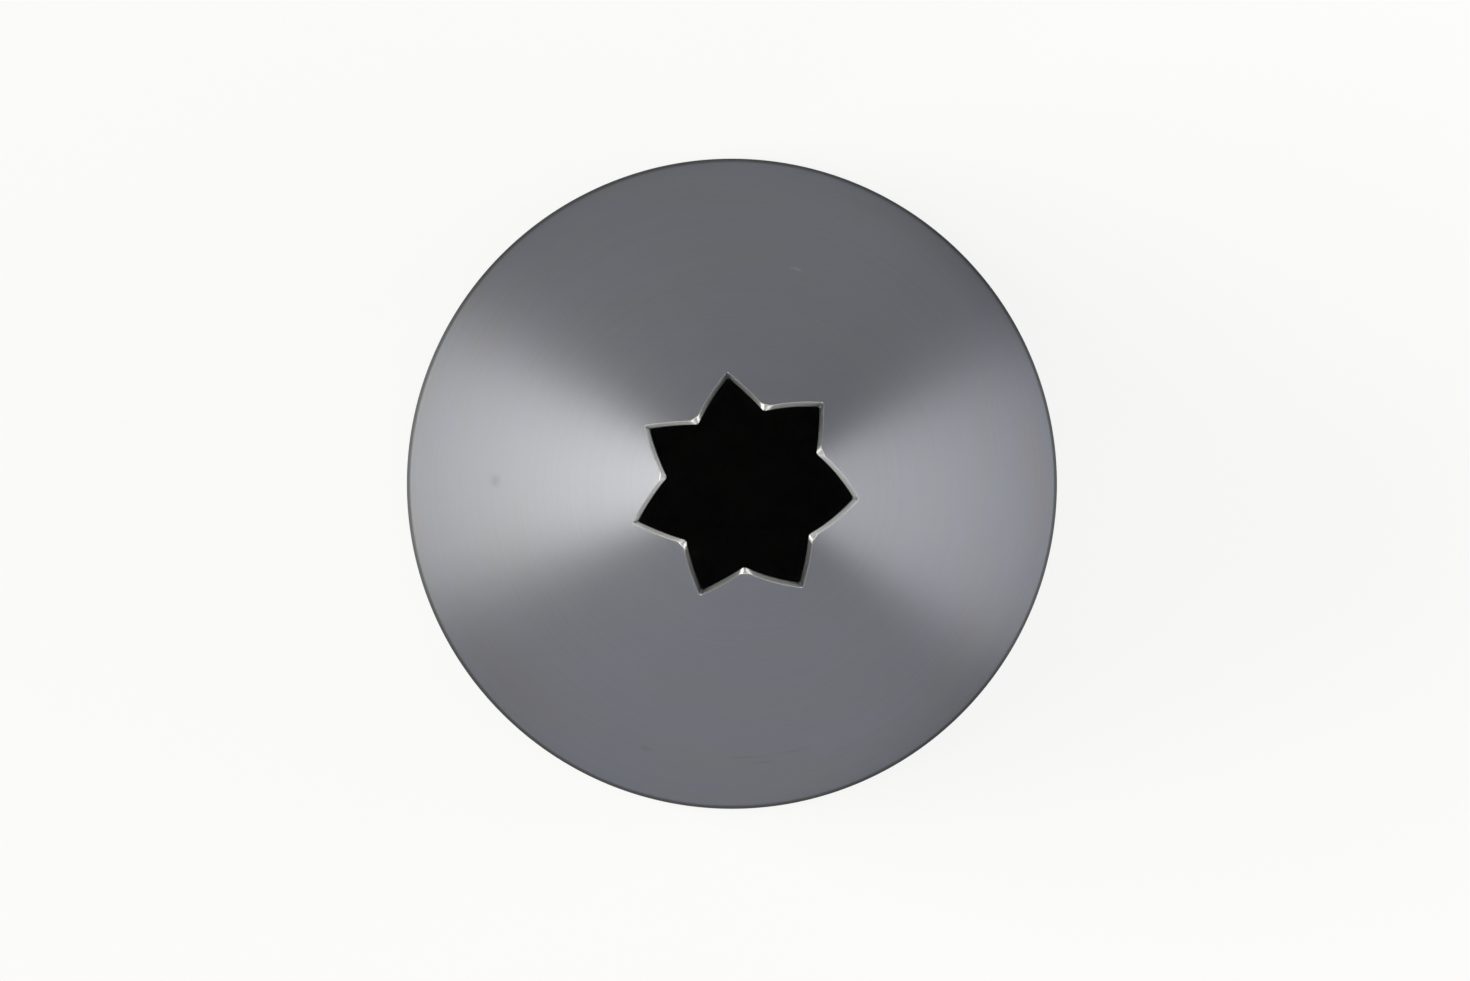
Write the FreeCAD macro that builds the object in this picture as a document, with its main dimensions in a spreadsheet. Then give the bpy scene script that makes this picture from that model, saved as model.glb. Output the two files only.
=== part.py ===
import FreeCAD, Part
import os

import Sketcher
from FreeCAD import Vector

# Star piping nozzle: one thin steel cone, drawn without a seam, whose narrow end is cut into teeth.
# The origin is the centre of the base rim, +Z runs along the axis to the teeth, and +X passes through a notch.

# Driving sizes: name, value in millimetres (or a count, or a share), and what it measures
SIZES = (
    ("base_diameter", 32.0, "outside of the wide rim, before its edges are rounded"),
    ("height", 50.0, "base rim to the ends of the teeth"),
    ("outlet_diameter", 7.0, "clear circle between the ends of the teeth"),
    ("wall", 0.3, "sheet thickness, square to the cone"),
    ("tooth_count", 7, "teeth, and the notches between them"),
    ("tooth_land", 0.1, "width of a tooth's end at its inner edge"),
    ("notch_depth", 5.7, "length of a notch down from the teeth's ends"),
    ("notch_root", 0.1, "width of the flat bottom of a notch"),
    ("rim_round_share", 0.25, "rounding of the base rim's edges, as a share of the wall"),
    ("cut_overrun", 1.0, "how far a cut runs on past the metal"),
)

# Numbers that sketches use: the ends of a line, the sketch's own axes, and its origin point
START, END = range(1, 3)
ACROSS_AXIS, UPRIGHT_AXIS = range(-1, -3, -1)
ORIGIN = (ACROSS_AXIS, START)


def origin_feature(body, role):
    """The body's own origin plane or axis with this role."""
    return next(feature for feature in body.Origin.OriginFeatures if feature.Role == role)


def sketch_on(body, role, name):
    """A new sketch of the body, on one of its origin planes."""
    sketch = body.newObject("Sketcher::SketchObject", name)
    sketch.AttachmentSupport = [(origin_feature(body, role), "")]
    sketch.MapMode = "FlatFace"
    return sketch


def draw_outline(sketch, corners):
    """Straight sides from corner to corner, joined end to end into a closed outline."""
    count = len(corners)
    for side in range(count):
        start = Vector(*corners[side])
        end = Vector(*corners[(side + 1) % count])
        sketch.addGeometry(Part.LineSegment(start, end), False)
    for side in range(count):
        sketch.addConstraint(Sketcher.Constraint("Coincident", side, END, (side + 1) % count, START))


def drive(sketch, name, expression, *constraint):
    """A named dimension of the sketch, bound to the sizes."""
    index = sketch.addConstraint(Sketcher.Constraint(*constraint))
    sketch.renameConstraint(index, name)
    sketch.setExpression(f"Constraints.{name}", expression)


document = FreeCAD.newDocument("PipingNozzle")
sheet = document.addObject("Spreadsheet::Sheet", "Sizes")
size = {}
for row, (alias, value, meaning) in enumerate(SIZES, start=1):
    sheet.set(f"A{row}", meaning)
    sheet.set(f"B{row}", str(value))
    sheet.setAlias(f"B{row}", alias)
    size[alias] = value
document.recompute()

nozzle = document.addObject("PartDesign::Body", "Nozzle")
nozzle.Label = "nozzle"

# Half section of the wall: outer flank, tooth ends, inner flank and base rim, in that order
OUTER, TIP, INNER, RIM = range(4)
base_radius = size["base_diameter"] / 2
outlet_radius = size["outlet_diameter"] / 2
section = sketch_on(nozzle, "XZ_Plane", "WallSection")
draw_outline(section, (
    (base_radius, 0, 0),
    (outlet_radius + size["wall"], size["height"], 0),
    (outlet_radius, size["height"], 0),
    (base_radius - size["wall"], 0, 0),
))
section.addConstraint(Sketcher.Constraint("Horizontal", TIP))
section.addConstraint(Sketcher.Constraint("Horizontal", RIM))
section.addConstraint(Sketcher.Constraint("Parallel", OUTER, INNER))
section.addConstraint(Sketcher.Constraint("PointOnObject", OUTER, START, ACROSS_AXIS))
drive(section, "base_radius", "Sizes.base_diameter / 2",
      "DistanceX", *ORIGIN, OUTER, START, base_radius)
drive(section, "outlet_radius", "Sizes.outlet_diameter / 2",
      "DistanceX", *ORIGIN, INNER, START, outlet_radius)
drive(section, "height", "Sizes.height",
      "DistanceY", *ORIGIN, OUTER, END, size["height"])
drive(section, "wall", "Sizes.wall",
      "Distance", INNER, END, OUTER, size["wall"])

cone = nozzle.newObject("PartDesign::Revolution", "Cone")
cone.Profile = section
cone.ReferenceAxis = (section, ["V_Axis"])
cone.Angle = 360

# One notch, seen along X: flat root, one flank, the open mouth above the teeth, the other flank
ROOT, FLANK, MOUTH, FAR_FLANK = range(4)
root_half = size["notch_root"] / 2
root_height = size["height"] - size["notch_depth"]
mouth_half = outlet_radius / 2
mouth_height = size["height"] + size["cut_overrun"]
notch = sketch_on(nozzle, "YZ_Plane", "NotchOutline")
draw_outline(notch, (
    (-root_half, root_height, 0),
    (root_half, root_height, 0),
    (mouth_half, mouth_height, 0),
    (-mouth_half, mouth_height, 0),
))
notch.addConstraint(Sketcher.Constraint("Symmetric", ROOT, START, ROOT, END, UPRIGHT_AXIS))
notch.addConstraint(Sketcher.Constraint("Symmetric", MOUTH, START, MOUTH, END, UPRIGHT_AXIS))

# The flanks are as wide apart at the teeth's ends as leaves the land on each tooth, and run on past them
half_pitch = "180 deg / Sizes.tooth_count"
half_land = "1 rad * Sizes.tooth_land / Sizes.outlet_diameter"
width_at_teeth = f"Sizes.outlet_diameter * sin({half_pitch} - {half_land})"
run_past_teeth = "(Sizes.notch_depth + Sizes.cut_overrun) / Sizes.notch_depth"
mouth_width = f"Sizes.notch_root + ({width_at_teeth} - Sizes.notch_root) * {run_past_teeth}"
drive(notch, "root_width", "Sizes.notch_root",
      "DistanceX", ROOT, START, ROOT, END, size["notch_root"])
drive(notch, "root_height", "Sizes.height - Sizes.notch_depth",
      "DistanceY", *ORIGIN, ROOT, START, root_height)
drive(notch, "mouth_width", mouth_width,
      "DistanceX", MOUTH, END, MOUTH, START, outlet_radius)
drive(notch, "mouth_height", "Sizes.height + Sizes.cut_overrun",
      "DistanceY", *ORIGIN, MOUTH, START, mouth_height)

# The cut starts on the axis and leaves through one side only, because a tooth stands opposite each notch
cut = nozzle.newObject("PartDesign::Pocket", "NotchCut")
cut.Profile = notch
cut.Type = "Length"
cut.Reversed = True
cut.setExpression("Length", "Sizes.base_diameter / 2")
document.recompute()

star = nozzle.newObject("PartDesign::PolarPattern", "StarNotches")
star.Originals = [cut]
star.Axis = (origin_feature(nozzle, "Z_Axis"), [""])
star.Angle = 360
star.setExpression("Occurrences", "Sizes.tooth_count")
nozzle.Tip = star
document.recompute()

# The base rim's outer and inner edges are the circles at the foot of the wall
rim_edges = []
for number, edge in enumerate(star.Shape.Edges, start=1):
    if isinstance(edge.Curve, Part.Circle) and abs(edge.Curve.Center.z) < size["wall"]:
        rim_edges.append(f"Edge{number}")
rim = nozzle.newObject("PartDesign::Fillet", "RimRounding")
rim.Base = (star, rim_edges)
rim.setExpression("Radius", "Sizes.wall * Sizes.rim_round_share")
nozzle.Tip = rim
document.recompute()

# Nothing is written unless every feature is sound and every notch has removed metal
for item in document.Objects:
    if "Invalid" in item.State or "Error" in item.State:
        raise RuntimeError(f"{item.Label} failed: {item.State}")
if nozzle.Shape.isNull() or not nozzle.Shape.isValid():
    raise RuntimeError(f"{nozzle.Label} has no sound shape")
one_notch = cone.Shape.Volume - cut.Shape.Volume
all_notches = cone.Shape.Volume - star.Shape.Volume
if one_notch <= 0 or round(all_notches / one_notch) != size["tooth_count"]:
    raise RuntimeError("a notch is missing from the narrow end")

os.makedirs("parts", exist_ok=True)
nozzle.Shape.exportStep(f"parts/{nozzle.Label}.step")
box = nozzle.Shape.optimalBoundingBox(False, False)
print(f"{nozzle.Label}: {box.XLength:.2f} x {box.YLength:.2f} x {box.ZLength:.2f} mm,"
      f" {nozzle.Shape.Volume:.1f} mm3 of steel")
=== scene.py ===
import math

import bpy
from mathutils import Matrix, Vector


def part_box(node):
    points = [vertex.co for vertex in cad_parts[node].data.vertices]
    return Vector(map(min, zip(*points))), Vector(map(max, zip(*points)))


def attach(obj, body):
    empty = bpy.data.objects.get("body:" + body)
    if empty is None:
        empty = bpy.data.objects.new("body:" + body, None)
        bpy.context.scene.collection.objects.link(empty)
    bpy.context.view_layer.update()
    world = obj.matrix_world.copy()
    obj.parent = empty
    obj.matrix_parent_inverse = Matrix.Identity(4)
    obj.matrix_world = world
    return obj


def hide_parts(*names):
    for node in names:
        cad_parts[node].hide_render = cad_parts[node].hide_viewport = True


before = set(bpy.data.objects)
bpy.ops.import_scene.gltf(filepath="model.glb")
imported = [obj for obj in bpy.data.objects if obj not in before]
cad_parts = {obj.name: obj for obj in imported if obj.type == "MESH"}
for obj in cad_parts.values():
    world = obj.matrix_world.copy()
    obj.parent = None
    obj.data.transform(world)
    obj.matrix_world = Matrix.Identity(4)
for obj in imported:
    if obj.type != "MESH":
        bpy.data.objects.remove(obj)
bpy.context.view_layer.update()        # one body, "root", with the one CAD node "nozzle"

mm = 0.001
scene = bpy.context.scene
scene.view_settings.view_transform = "Standard"


def addNode(tree, kind, settings=None, links=None):
    # One node with its settings; each input is linked to a node or a socket, or set to a value
    node = tree.nodes.new(kind)
    for name, value in (settings or {}).items():
        setattr(node, name, value)
    for socket, source in (links or {}).items():
        target = node.inputs[socket]
        if isinstance(source, bpy.types.Node):
            source = source.outputs[0]
        if isinstance(source, bpy.types.NodeSocket):
            tree.links.new(source, target)
        else:
            target.default_value = source
    return node


def addSteps(tree, kind, steps, values):
    # A chain of sums: each step names its result, and takes numbers or the names of values found before it
    for name, operation, *terms in steps:
        links = {k: values.get(term, term) for k, term in enumerate(terms)}
        values[name] = addNode(tree, kind, {"operation": operation}, links).outputs[0]


def linear(hexColour):
    # sRGB hex to the linear colour that shaders take
    parts = [int(hexColour[k:k + 2], 16) / 255 for k in (1, 3, 5)]
    return tuple(p / 12.92 if p <= 0.04045 else ((p + 0.055) / 1.055) ** 2.4 for p in parts) + (1.0,)


def newObject(name, data):
    made = bpy.data.objects.new(name, data)
    scene.collection.objects.link(made)
    return made


def newMaterial(name):
    made = bpy.data.materials.new(name)
    made.use_nodes = True
    made.node_tree.nodes.clear()
    return made, made.node_tree


# The wall: a thin cone with rounded edges, and the star that is cut into its narrow end
nozzle = {
    "baseRadius": 16.0 * mm,        # outside of the wide rim, before rounding
    "height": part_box("nozzle")[1].z,
    "outletRadius": 3.5 * mm,       # between the ends of the teeth
    "wall": 0.3 * mm,
    "rimRound": 0.075 * mm,         # edges of the wide rim
    "outerRound": 0.03 * mm,        # outer edge of the cut, eased by the polishing
    "innerRound": 0.035 * mm,       # inner edge of the cut
    "holdRow": 0.06 * mm,           # a row close to each rounding, so the flanks shade flat
    "flankRows": 12,
    "roundSteps": 3,
    "teeth": 7,
    "columns": 48,                  # per half tooth
    "columnDraw": 1.3,              # above 1, columns stand closer together at the notches
    "toothLand": 0.1 * mm,
    "notchDepth": 5.7 * mm,
    "notchRoot": 0.1 * mm,
    "toothHighlight": 0.28 * mm,       # length of each tooth's end that is painted bright, a painted highlight
    # From the photo: degrees that each notch and tooth stands off even spacing, and how far the cut face was
    # deburred on either side of each notch, before it and after it, and at its root. The same shares paint
    # the cut face from dark, painted shade, to bright, a painted highlight
    "notchDrift": (0.8, 1.6, 1.7, 0.2, -1.5, -2.8, -1.6),
    "toothDrift": (6.0, 5.5, 4.3, -1.2, -3.5, -7.0, -3.7),
    "deburrAndPaintedLight": ((1.0, 1.0), (0.55, 0.65), (0.55, 0.55), (0.8, 1.0), (1.0, 0.9), (0.5, 0.55), (0.6, 0.45)),
    "rootDeburrAndPaintedLight": (0.8, 0.8, 0.4, 0.6, 0.6, 0.7, 0.7),
}


def wallTaper(size):
    # Tangent of the cone's half angle, from the base, the outlet and a wall that is square to the flank
    run = size["baseRadius"] - size["outletRadius"]
    rise, wall = size["height"], size["wall"]
    spare = rise ** 2 - wall ** 2
    return (run * rise - math.sqrt((run * rise) ** 2 - spare * (run ** 2 - wall ** 2))) / spare


def roundedCorner(before, corner, after, radius, steps):
    # Points of the arc that rounds a corner, from the side that comes in to the side that goes out
    into, out = (before - corner).normalized(), (after - corner).normalized()
    half = into.angle(out) / 2
    middle = corner + (into + out).normalized() * (radius / math.sin(half))
    first = corner + into * (radius / math.tan(half)) - middle
    last = corner + out * (radius / math.tan(half)) - middle
    start, sweep = math.atan2(first.y, first.x), math.pi - 2 * half
    if first.x * last.y < first.y * last.x:
        sweep = -sweep
    angles = [start + sweep * k / steps for k in range(steps + 1)]
    return [middle + radius * Vector((math.cos(a), math.sin(a))) for a in angles]


def flankPoints(start, end, hold, rows):
    # Rows along a straight flank, with one close to each end
    along = (end - start).normalized()
    first, last = start + along * hold, end - along * hold
    return [first.lerp(last, k / rows) for k in range(rows + 1)]


def wallSection(size, taper):
    # Closed half section, up the outside, over the teeth and down the inside, and the row of its cut face
    across = Vector((size["wall"] * math.sqrt(1 + taper ** 2), 0.0))
    outerBase = Vector((size["baseRadius"], 0.0))
    innerBase = outerBase - across
    innerTip = Vector((size["outletRadius"], size["height"]))
    outerTip = innerTip + across
    corners = [innerBase, outerBase, outerTip, innerTip]
    rounds = [size["rimRound"], size["rimRound"], size["outerRound"], size["innerRound"]]
    arcs = []
    for k, corner in enumerate(corners):
        after = corners[(k + 1) % 4]
        arcs.append(roundedCorner(corners[k - 1], corner, after, rounds[k], size["roundSteps"]))
    outerFlank = flankPoints(arcs[1][-1], arcs[2][0], size["holdRow"], size["flankRows"])
    innerFlank = flankPoints(arcs[3][-1], arcs[0][0], size["holdRow"], size["flankRows"])
    outside = arcs[1] + outerFlank + arcs[2]
    section = outside + arcs[3] + innerFlank + arcs[0] + arcs[1][:1]
    return section, len(outside) - 1


def starMarks(size):
    # A point for each notch and tooth: its turn round the axis, and the cut's finish at it and after it,
    # which also paints the cut face from dark, painted shade, to bright, a painted highlight
    count = size["teeth"]
    pitch = 360 / count
    turns, roots, flanks = [], [], []
    for k in range(count):
        turns += [pitch * k + size["notchDrift"][k], pitch * (k + 0.5) + size["toothDrift"][k]]
        roots += [size["rootDeburrAndPaintedLight"][k], 1.0]
        flanks += [size["deburrAndPaintedLight"][k][1], size["deburrAndPaintedLight"][(k + 1) % count][0]]
    turns = [math.radians(turn) for turn in turns + [turns[0] + 360]]
    radius = size["outletRadius"]
    mesh = bpy.data.meshes.new("starMarks")
    mesh.from_pydata([(radius * math.cos(a), radius * math.sin(a), size["height"]) for a in turns], [], [])
    for name, values in (("turn", turns), ("root", roots + roots[:1]), ("flank", flanks + flanks[:1])):
        mesh.attributes.new(name, "FLOAT", "POINT").data.foreach_set("value", values)
    return newObject("starMarks", mesh)


def nozzleTree():
    # Turns the section round the axis in columns, and pulls each column's top down to the star's notches
    tree = bpy.data.node_groups.new("starNozzle", "GeometryNodeTree")
    sockets = {
        "Geometry": ("Section",),
        "Object": ("Star Marks",),
        "Int": ("Section Points", "Cut Row", "Round Steps", "Teeth", "Columns"),
        "Float": ("Column Draw", "Taper", "Height", "Outlet Radius", "Tooth Land", "Tooth Polish",
                  "Notch Depth", "Notch Root"),
        "Material": ("Outside", "Cut Edge", "Inside"),
    }
    for kind, names in sockets.items():
        for name in names:
            tree.interface.new_socket(name, in_out="INPUT", socket_type="NodeSocket" + kind)
    tree.interface.new_socket("Nozzle", in_out="OUTPUT", socket_type="NodeSocketGeometry")
    given = addNode(tree, "NodeGroupInput").outputs
    values = {name: given[name] for names in sockets.values() for name in names}
    values["index"] = addNode(tree, "GeometryNodeInputIndex").outputs[0]

    # Whole numbers: the grid's counts, a point's column, row and half tooth, and a face's side of the wall
    addSteps(tree, "FunctionNodeIntegerMath", (
        ("halves", "MULTIPLY", "Teeth", 2),
        ("allColumns", "MULTIPLY", "halves", "Columns"),
        ("gridColumns", "ADD", "allColumns", 1),
        ("column", "DIVIDE_FLOOR", "index", "Section Points"),
        ("row", "MODULO", "index", "Section Points"),
        ("halfAlong", "DIVIDE_FLOOR", "column", "Columns"),
        ("half", "MODULO", "halfAlong", "halves"),
        ("nextMark", "ADD", "half", 1),
        ("odd", "MODULO", "half", 2),
        ("notch", "ADD", "half", "odd"),
        ("faceRows", "SUBTRACT", "Section Points", 1),
        ("faceRow", "MODULO", "index", "faceRows"),
        ("cutFoot", "SUBTRACT", "Cut Row", "Round Steps"),
        ("fromFoot", "SUBTRACT", "faceRow", "cutFoot"),
        ("beforeCut", "MINIMUM", "fromFoot", 0),
        ("fromCut", "SUBTRACT", "faceRow", "Cut Row"),
        ("pastCut", "MAXIMUM", "fromCut", 0),
        ("offCut", "ADD", "beforeCut", "pastCut"),
        ("wallSide", "SIGN", "offCut"),
    ), values)

    # What the section and the star's marks hold for the point
    place = addNode(tree, "GeometryNodeInputPosition")
    sectionPoint = addNode(tree, "GeometryNodeSampleIndex", {"data_type": "FLOAT_VECTOR"}, {
        "Geometry": given["Section"], "Value": place, "Index": values["row"]})
    sectionAt = addNode(tree, "ShaderNodeSeparateXYZ", links={0: sectionPoint}).outputs
    values.update({"sectionRadius": sectionAt["X"], "sectionHeight": sectionAt["Z"]})
    held = addNode(tree, "GeometryNodeObjectInfo", links={"Object": given["Star Marks"]})
    marks = held.outputs["Geometry"]
    readings = (
        ("turnHere", "turn", "half"), ("turnNext", "turn", "nextMark"), ("notchTurn", "turn", "notch"),
        ("rootFinish", "root", "notch"), ("flankFinish", "flank", "half"),
    )
    for name, attribute, mark in readings:
        reading = addNode(tree, "GeometryNodeInputNamedAttribute", {"data_type": "FLOAT"}, {
            "Name": attribute})
        values[name] = addNode(tree, "GeometryNodeSampleIndex", {"data_type": "FLOAT"}, {
            "Geometry": marks, "Value": reading, "Index": values[mark]}).outputs[0]

    addSteps(tree, "ShaderNodeMath", (
        # the column's angle from the middle of its notch, and its turn round the axis
        ("span", "SUBTRACT", "turnNext", "turnHere"),
        ("along", "DIVIDE", "column", "Columns"),
        ("share", "PINGPONG", "along", 1.0),
        ("drawn", "POWER", "share", "Column Draw"),
        ("fromNotch", "MULTIPLY", "span", "drawn"),
        ("way", "MULTIPLY_ADD", "odd", -2.0, 1.0),
        ("turn", "MULTIPLY_ADD", "fromNotch", "way", "notchTurn"),
        # slope of the notch's flank, which leaves each tooth its land
        ("rootHalf", "MULTIPLY", "Notch Root", 0.5),
        ("rootHeight", "SUBTRACT", "Height", "Notch Depth"),
        ("landHalf", "MULTIPLY", "Tooth Land", 0.5),
        ("landAngle", "DIVIDE", "landHalf", "Outlet Radius"),
        ("mouthAngle", "SUBTRACT", "span", "landAngle"),
        ("mouthSine", "SINE", "mouthAngle"),
        ("mouthHalf", "MULTIPLY", "Outlet Radius", "mouthSine"),
        ("flankRun", "SUBTRACT", "mouthHalf", "rootHalf"),
        ("flank", "DIVIDE", "flankRun", "Notch Depth"),
        # height where that flank meets the point's cone, between the notch's root and the tooth ends
        ("coneRadius", "MULTIPLY_ADD", "sectionHeight", "Taper", "sectionRadius"),
        ("sine", "SINE", "fromNotch"),
        ("chord", "MULTIPLY", "coneRadius", "sine"),
        ("chordPastRoot", "SUBTRACT", "chord", "rootHalf"),
        ("rise", "MULTIPLY_ADD", "rootHeight", "flank", "chordPastRoot"),
        ("closing", "MULTIPLY_ADD", "Taper", "sine", "flank"),
        ("meets", "DIVIDE", "rise", "closing"),
        ("aboveRoot", "MAXIMUM", "meets", "rootHeight"),
        ("top", "MINIMUM", "aboveRoot", "Height"),
        # the point slides down its own flank by the share that its column loses
        ("topShare", "DIVIDE", "top", "Height"),
        ("height", "MULTIPLY", "sectionHeight", "topShare"),
        ("setIn", "MULTIPLY", "height", "Taper"),
        ("radius", "SUBTRACT", "coneRadius", "setIn"),
        ("cosTurn", "COSINE", "turn"),
        ("sinTurn", "SINE", "turn"),
        ("x", "MULTIPLY", "radius", "cosTurn"),
        ("y", "MULTIPLY", "radius", "sinTurn"),
        # finish of the cut: each root and flank has its own, which also paints its colour between painted
        # shade and painted highlight; a tooth's end is painted bright, a painted highlight
        ("highlightFoot", "SUBTRACT", "Height", "Tooth Polish"),
        ("onEnd", "GREATER_THAN", "meets", "highlightFoot"),
        ("onRoot", "LESS_THAN", "meets", "rootHeight"),
        ("rootChange", "SUBTRACT", "rootFinish", "flankFinish"),
        ("cutFinish", "MULTIPLY_ADD", "onRoot", "rootChange", "flankFinish"),
        ("finish", "MAXIMUM", "cutFinish", "onEnd"),
    ), values)

    grid = addNode(tree, "GeometryNodeMeshGrid", links={
        "Vertices X": values["gridColumns"], "Vertices Y": values["Section Points"]})
    position = addNode(tree, "ShaderNodeCombineXYZ", links={
        "X": values["x"], "Y": values["y"], "Z": values["height"]})
    shape = addNode(tree, "GeometryNodeSetPosition", links={"Geometry": grid, "Position": position})
    for name, kind, domain in (("wallSide", "INT", "FACE"), ("finish", "FLOAT", "POINT")):
        shape = addNode(tree, "GeometryNodeStoreNamedAttribute", {"data_type": kind, "domain": domain}, {
            "Geometry": shape, "Name": name, "Value": values[name]})
    seamReach = 0.0005 * mm     # enough to close the seams of the turned grid
    closed = addNode(tree, "GeometryNodeMergeByDistance", links={"Geometry": shape, "Distance": seamReach})
    smooth = addNode(tree, "GeometryNodeSetShadeSmooth", links={"Geometry": closed})
    shape = addNode(tree, "GeometryNodeRealizeInstances", links={"Geometry": smooth})

    # Steel by place: polished outside, deburred where the star was cut, with painted highlight and shade
    # on the cut faces, dull inside
    side = addNode(tree, "GeometryNodeInputNamedAttribute", {"data_type": "INT"}, {"Name": "wallSide"})
    for name, sign in (("Outside", -1.0), ("Cut Edge", 0.0), ("Inside", 1.0)):
        chosen = addNode(tree, "FunctionNodeCompare", {"operation": "EQUAL"}, {0: side, 1: sign})
        shape = addNode(tree, "GeometryNodeSetMaterial", links={
            "Geometry": shape, "Selection": chosen, "Material": given[name]})
    addNode(tree, "NodeGroupOutput", links={"Nozzle": shape})
    return tree


# Marks on the outside that the photo shows: turn in degrees, height, half length and half height in mm,
# the share of the tone that shows, and the tone
outsideMarks = (
    (81.2, 22.4, 0.45, 0.50, 0.40, "rub"), (185.4, 18.8, 0.45, 1.50, 0.40, "stain"),
    (257.8, 10.7, 0.40, 1.10, 0.30, "stain"), (278.6, 11.9, 1.20, 0.50, 0.22, "stain"),
    (282.5, 10.5, 0.90, 0.45, 0.30, "stain"), (288.2, 11.9, 1.10, 0.50, 0.22, "stain"),
)


def satinSteel():
    # Stainless steel polished round the axis on a lathe: fine rings that smear highlights up the cone
    finish = {
        # the dark rim tone is painted shade at the foot of the rim
        # the tip tone is a painted highlight that lightens the steel towards the teeth
        "base": "#7C7F8E", "tip": "#9395A2", "smudge": "#7D7D86", "paintedRimShade": "#515359", "stain": "#5E6066",
        "rub": "#B2B4BA",
        "baseRough": 0.47, "tipRough": 0.58, "ringRough": 0.02, "anisotropy": 0.91,
        "ringSpacing": 0.25 * mm,   # drawn coarser than real polishing lines, which are too fine to show
        "ringLength": 12.0 * mm, "ringDepth": 0.01 * mm, "ringBump": 0.1,
        "ringLow": 0.3, "ringHigh": 0.7,            # noise levels between which the roughness changes
        "smearTurn": 0.25,                          # a quarter turn from the rings, so up the cone
        "smudgeSize": 7.0 * mm, "smudgeShare": 0.8,
        "smudgeStart": 0.4, "smudgeFull": 0.65,     # noise levels where a smudge starts and is full
        "bandLow": 0.54 * mm, "bandHigh": 1.08 * mm,    # where the painted shade at the rim's foot fades out
    }
    made, tree = newMaterial("satin_stainless_steel")
    place = addNode(tree, "ShaderNodeTexCoord").outputs["Object"]
    up = addNode(tree, "ShaderNodeSeparateXYZ", links={0: place}).outputs["Z"]
    ringAcross = 1 / finish["ringLength"]
    rings = addNode(tree, "ShaderNodeMapping", links={
        "Vector": place, "Scale": (ringAcross, ringAcross, 1 / finish["ringSpacing"])})
    ringNoise = addNode(tree, "ShaderNodeTexNoise", links={"Vector": rings, "Scale": 1.0, "Detail": 2.0})
    smudgeNoise = addNode(tree, "ShaderNodeTexNoise", links={
        "Vector": place, "Scale": 1 / finish["smudgeSize"], "Detail": 3.0})

    # Layers of colour, each with the share of it that shows: smudged by hands, painted lighter towards
    # the teeth as a highlight, painted darker at the foot of the rim as shade, and marks
    height = addNode(tree, "ShaderNodeMapRange", links={"Value": up, "From Max": nozzle["height"]})
    smudged = addNode(tree, "ShaderNodeMapRange", links={
        "Value": smudgeNoise, "From Min": finish["smudgeStart"], "From Max": finish["smudgeFull"],
        "To Max": finish["smudgeShare"]})
    # painted shade: darker steel at the foot of the rim
    rimShade = addNode(tree, "ShaderNodeMapRange", {"interpolation_type": "SMOOTHSTEP"}, {
        "Value": up, "From Min": finish["bandLow"], "From Max": finish["bandHigh"],
        "To Min": 1.0, "To Max": 0.0})
    layers = [(smudged, "smudge"), (height, "tip"), (rimShade, "paintedRimShade")]
    taper = wallTaper(nozzle)
    for turn, markHeight, halfLength, halfHeight, share, tone in outsideMarks:
        angle, radius = math.radians(turn), nozzle["baseRadius"] - markHeight * mm * taper
        spot = (radius * math.cos(angle), radius * math.sin(angle), markHeight * mm)
        local = addNode(tree, "ShaderNodeMapping", {"vector_type": "TEXTURE"}, {
            "Vector": place, "Location": spot, "Rotation": (0.0, 0.0, angle),
            "Scale": (halfHeight * mm, halfLength * mm, halfHeight * mm)})
        away = addNode(tree, "ShaderNodeVectorMath", {"operation": "LENGTH"}, {0: local}).outputs["Value"]
        within = addNode(tree, "ShaderNodeMapRange", {"interpolation_type": "SMOOTHSTEP"}, {
            "Value": away, "From Max": 1.0, "To Min": share, "To Max": 0.0})
        layers.append((within, tone))
    colour = linear(finish["base"])
    for share, tone in layers:      # sockets 6 and 7 of Mix, and its output 2, are the colours
        mixed = addNode(tree, "ShaderNodeMix", {"data_type": "RGBA"}, {
            0: share, 6: colour, 7: linear(finish[tone])})
        colour = mixed.outputs[2]

    worn = addNode(tree, "ShaderNodeMapRange", links={
        "Value": height, "To Min": finish["baseRough"], "To Max": finish["tipRough"]})
    lined = addNode(tree, "ShaderNodeMapRange", links={
        "Value": ringNoise, "From Min": finish["ringLow"], "From Max": finish["ringHigh"],
        "To Min": -finish["ringRough"], "To Max": finish["ringRough"]})
    rough = addNode(tree, "ShaderNodeMath", {"operation": "ADD"}, {0: worn, 1: lined})
    bump = addNode(tree, "ShaderNodeBump", links={
        "Strength": finish["ringBump"], "Distance": finish["ringDepth"], "Height": ringNoise})
    around = addNode(tree, "ShaderNodeTangent", {"direction_type": "RADIAL", "axis": "Z"})
    steel = addNode(tree, "ShaderNodeBsdfPrincipled", links={
        "Base Color": colour, "Metallic": 1.0, "Roughness": rough, "Normal": bump,
        "Anisotropic": finish["anisotropy"], "Anisotropic Rotation": finish["smearTurn"],
        "Tangent": around})
    addNode(tree, "ShaderNodeOutputMaterial", links={"Surface": steel})
    return made


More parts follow.
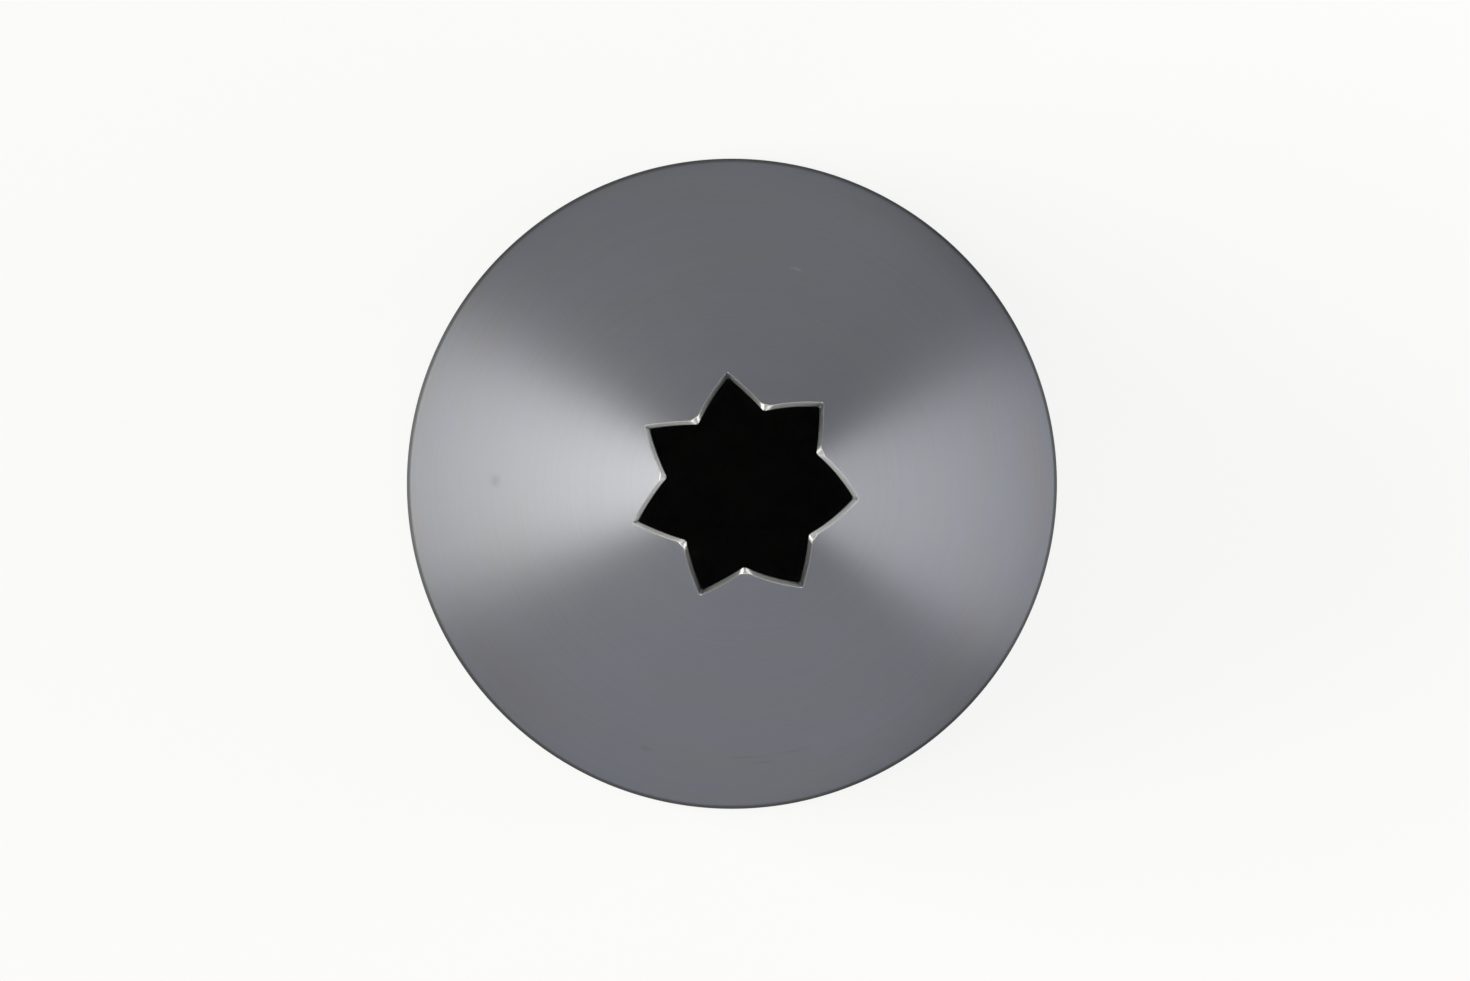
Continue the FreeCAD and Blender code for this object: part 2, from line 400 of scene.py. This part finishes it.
def cutSteel():
    # Faces where the star was cut: matt where the deburring reached and smooth elsewhere, their colour
    # painted bright as highlight and dark as shade by the same share
    finish = {
        "bright": "#ECEDF2", "dark": "#66676C", "deburredRough": 0.62, "cutRough": 0.22,
        "grain": 0.08 * mm, "grainDepth": 0.01 * mm, "grainBump": 0.15,
    }
    made, tree = newMaterial("cut_steel_edge")
    place = addNode(tree, "ShaderNodeTexCoord").outputs["Object"]
    grain = addNode(tree, "ShaderNodeTexNoise", links={
        "Vector": place, "Scale": 1 / finish["grain"], "Detail": 2.0})
    bump = addNode(tree, "ShaderNodeBump", links={
        "Strength": finish["grainBump"], "Distance": finish["grainDepth"], "Height": grain})
    deburredAndPainted = addNode(tree, "ShaderNodeAttribute", {"attribute_name": "finish"}).outputs["Fac"]
    rough = addNode(tree, "ShaderNodeMapRange", links={
        "Value": deburredAndPainted, "To Min": finish["cutRough"], "To Max": finish["deburredRough"]})
    # painted highlight and shade: the cut face's colour runs from dark to bright with the finish
    colour = addNode(tree, "ShaderNodeMix", {"data_type": "RGBA"}, {
        0: deburredAndPainted, 6: linear(finish["dark"]), 7: linear(finish["bright"])}).outputs[2]
    steel = addNode(tree, "ShaderNodeBsdfPrincipled", links={
        "Base Color": colour, "Metallic": 1.0, "Roughness": rough, "Normal": bump})
    addNode(tree, "ShaderNodeOutputMaterial", links={"Surface": steel})
    return made


def drawnSteel():
    # The inside is left as the press drew it: duller, darker, with faint lines along the draw
    finish = {"colour": "#77777B", "roughness": 0.6, "lineWidth": 0.3 * mm, "lineLength": 25.0 * mm,
              "lineDepth": 0.02 * mm, "lineBump": 0.2}
    made, tree = newMaterial("drawn_steel_inside")
    place = addNode(tree, "ShaderNodeTexCoord").outputs["Object"]
    lineAcross = 1 / finish["lineWidth"]
    lines = addNode(tree, "ShaderNodeMapping", links={
        "Vector": place, "Scale": (lineAcross, lineAcross, 1 / finish["lineLength"])})
    lineNoise = addNode(tree, "ShaderNodeTexNoise", links={"Vector": lines, "Scale": 1.0, "Detail": 2.0})
    bump = addNode(tree, "ShaderNodeBump", links={
        "Strength": finish["lineBump"], "Distance": finish["lineDepth"], "Height": lineNoise})
    steel = addNode(tree, "ShaderNodeBsdfPrincipled", links={
        "Base Color": linear(finish["colour"]), "Metallic": 1.0, "Roughness": finish["roughness"],
        "Normal": bump})
    addNode(tree, "ShaderNodeOutputMaterial", links={"Surface": steel})
    return made


def buildNozzle(size):
    taper = wallTaper(size)
    section, cutRow = wallSection(size, taper)
    mesh = bpy.data.meshes.new("wallSection")
    mesh.from_pydata([(point.x, 0.0, point.y) for point in section], [], [])
    piece = newObject("star_nozzle", mesh)
    marks = starMarks(size)
    tree = nozzleTree()
    inputs = {
        "Star Marks": marks, "Section Points": len(section), "Cut Row": cutRow,
        "Round Steps": size["roundSteps"], "Teeth": size["teeth"], "Columns": size["columns"],
        "Column Draw": size["columnDraw"], "Taper": taper, "Height": size["height"],
        "Outlet Radius": size["outletRadius"], "Tooth Land": size["toothLand"],
        "Tooth Polish": size["toothHighlight"], "Notch Depth": size["notchDepth"],
        "Notch Root": size["notchRoot"],
        "Outside": satinSteel(), "Cut Edge": cutSteel(), "Inside": drawnSteel(),
    }
    lathe = piece.modifiers.new("lathe", "NODES")
    lathe.node_group = tree
    for item in tree.interface.items_tree:
        if item.name in inputs:
            lathe[item.identifier] = inputs[item.name]
    made = bpy.data.meshes.new_from_object(piece.evaluated_get(bpy.context.evaluated_depsgraph_get()))
    made.materials.pop(index=0)     # the grid's own empty slot
    piece.modifiers.clear()
    piece.data = made
    bpy.data.objects.remove(marks)
    print("nozzle:", len(made.vertices), "points,", len(made.polygons), "faces")
    return piece


starNozzle = buildNozzle(nozzle)
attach(starNozzle, "root")
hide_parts("nozzle")

# Camera: nearly on the axis, above the teeth, with the rim and the star where the photo has them
view = {
    "photoSize": (1470, 981),
    "rimCentre": (732.0, 483.8),         # pixels of the photo
    "rimRadius": 325.5,
    "distance": 0.5,                     # above the floor
    "offAxis": (-5.8 * mm, 1.8 * mm),    # to the picture's left and up
    "roll": 6.4,                         # degrees that a star point lies below the picture's right
    "sensor": 36.0,
}


def addCamera(setup):
    pixel = nozzle["baseRadius"] / setup["rimRadius"]
    roll = math.radians(setup["roll"])
    right = Vector((math.cos(roll), math.sin(roll), 0.0))
    up = Vector((-math.sin(roll), math.cos(roll), 0.0))
    width, height = setup["photoSize"]
    centreX, centreY = setup["rimCentre"]
    aim = right * (width / 2 - centreX) * pixel - up * (height / 2 - centreY) * pixel
    eye = right * setup["offAxis"][0] + up * setup["offAxis"][1] + Vector((0.0, 0.0, setup["distance"]))
    back = (eye - aim).normalized()
    across = (right - back * right.dot(back)).normalized()
    data = bpy.data.cameras.new("camera")
    data.sensor_width = setup["sensor"]
    data.lens = setup["sensor"] * (eye - aim).length / (width * pixel)
    camera = newObject("camera", data)
    turned = Matrix((across, back.cross(across), back)).transposed().to_4x4()
    camera.matrix_world = Matrix.Translation(eye) @ turned
    scene.camera = camera
    print("camera: lens", round(data.lens, 1), "mm")
    return right, up


pictureRight, pictureUp = addCamera(view)

# Stage: a plain pale floor, soft boxes on the four sides of the picture, walls that are pale low down
stage = {
    "floorRadius": 3.0, "floorCorners": 96, "floorColour": "#EDEDED", "floorGlow": 0.85, "glowInSteel": 0.15,
    "wallLevel": 0.95, "wallFoot": 0.06, "wallTop": 0.14, "ceilingLevel": 0.08,
    "aimHeight": 0.025,
}
# Turn in degrees from the picture's right, rise above the floor in degrees, then metres, radiance and colour
softboxes = {
    "leftBox": {"turn": 176, "rise": 26, "distance": 0.6, "width": 0.52, "height": 0.36, "radiance": 8.0,
                "colour": "#FFFDEA"},
    "rightBox": {"turn": -4, "rise": 14, "distance": 0.15, "width": 0.158, "height": 0.075, "radiance": 4.6,
                 "colour": "#FFFDF0"},
    "frontBox": {"turn": 266, "rise": 28, "distance": 0.7, "width": 1.4, "height": 0.45, "radiance": 0.88,
                 "colour": "#FFFFFC"},
    "backBox": {"turn": 90, "rise": 28, "distance": 0.7, "width": 1.1, "height": 0.45, "radiance": 0.47,
                "colour": "#FFFEF8"},
}


def whiteCard(name, colour, glow, glowInSteel):
    # Matt white card. A share of it glows to the eye, so the background is white under a soft shadow,
    # and a small share glows in the steel, so the steel shows the shadow beside it too
    made, tree = newMaterial(name)
    card = addNode(tree, "ShaderNodeBsdfDiffuse", links={"Color": linear(colour)})
    ray = addNode(tree, "ShaderNodeLightPath").outputs
    values = {kind: ray[kind] for kind in ("Is Camera Ray", "Is Glossy Ray", "Is Transmission Ray")}
    addSteps(tree, "ShaderNodeMath", (
        ("mirrored", "MAXIMUM", "Is Glossy Ray", "Is Transmission Ray"),
        ("steelShare", "MULTIPLY", "mirrored", glowInSteel),
        ("share", "MULTIPLY_ADD", "Is Camera Ray", glow, "steelShare"),
    ), values)
    white = addNode(tree, "ShaderNodeEmission", links={"Color": (1.0, 1.0, 1.0, 1.0), "Strength": 1.0})
    surface = addNode(tree, "ShaderNodeMixShader", links={0: values["share"], 1: card, 2: white})
    addNode(tree, "ShaderNodeOutputMaterial", links={"Surface": surface})
    return made


def addFloor(setup):
    # Open floor, and the round of it under the nozzle that lies in full shadow
    corners = setup["floorCorners"]
    points = []
    for radius in (nozzle["baseRadius"] - nozzle["wall"] / 2, setup["floorRadius"]):
        for k in range(corners):
            angle = 2 * math.pi * k / corners
            points.append((radius * math.cos(angle), radius * math.sin(angle), 0.0))
    around = [(k, k + corners, (k + 1) % corners + corners, (k + 1) % corners) for k in range(corners)]
    mesh = bpy.data.meshes.new("floor")
    mesh.from_pydata(points, [], [tuple(range(corners))] + around)
    colour = setup["floorColour"]
    mesh.materials.append(whiteCard("card_under_nozzle", colour, 0.0, 0.0))
    mesh.materials.append(whiteCard("card_floor", colour, setup["floorGlow"], setup["glowInSteel"]))
    for face in mesh.polygons[1:]:
        face.material_index = 1
    newObject("floor", mesh)


def addSoftbox(name, box):
    turn, rise = math.radians(box["turn"]), math.radians(box["rise"])
    outward = pictureRight * math.cos(turn) + pictureUp * math.sin(turn)
    back = outward * math.cos(rise) + Vector((0.0, 0.0, math.sin(rise)))
    data = bpy.data.lights.new(name, "AREA")
    data.shape = "RECTANGLE"
    data.color = linear(box["colour"])[:3]
    data.size, data.size_y = box["width"], box["height"]
    data.energy = box["radiance"] * math.pi * box["width"] * box["height"]
    lamp = newObject(name, data)
    lamp.visible_camera = False
    across = Vector((0.0, 0.0, 1.0)).cross(back).normalized()
    turned = Matrix((across, back.cross(across), back)).transposed().to_4x4()
    spot = Vector((0.0, 0.0, stage["aimHeight"])) + back * box["distance"]
    lamp.matrix_world = Matrix.Translation(spot) @ turned


def addSurround(setup):
    # A pale wall low down all round, and a dim ceiling that leaves the opening dark
    world = bpy.data.worlds.new("surround")
    world.use_nodes = True
    tree = world.node_tree
    tree.nodes.clear()
    towards = addNode(tree, "ShaderNodeTexCoord").outputs["Generated"]
    up = addNode(tree, "ShaderNodeSeparateXYZ", links={0: towards}).outputs["Z"]
    level = addNode(tree, "ShaderNodeMapRange", {"interpolation_type": "SMOOTHSTEP"}, {
        "Value": up, "From Min": setup["wallFoot"], "From Max": setup["wallTop"],
        "To Min": setup["wallLevel"], "To Max": setup["ceilingLevel"]})
    light = addNode(tree, "ShaderNodeBackground", links={"Color": (1.0, 1.0, 1.0, 1.0), "Strength": level})
    addNode(tree, "ShaderNodeOutputWorld", links={"Surface": light})
    scene.world = world


addFloor(stage)
addSurround(stage)
for boxName, boxSetup in softboxes.items():
    addSoftbox(boxName, boxSetup)
print("stage: floor,", len(softboxes), "soft boxes")
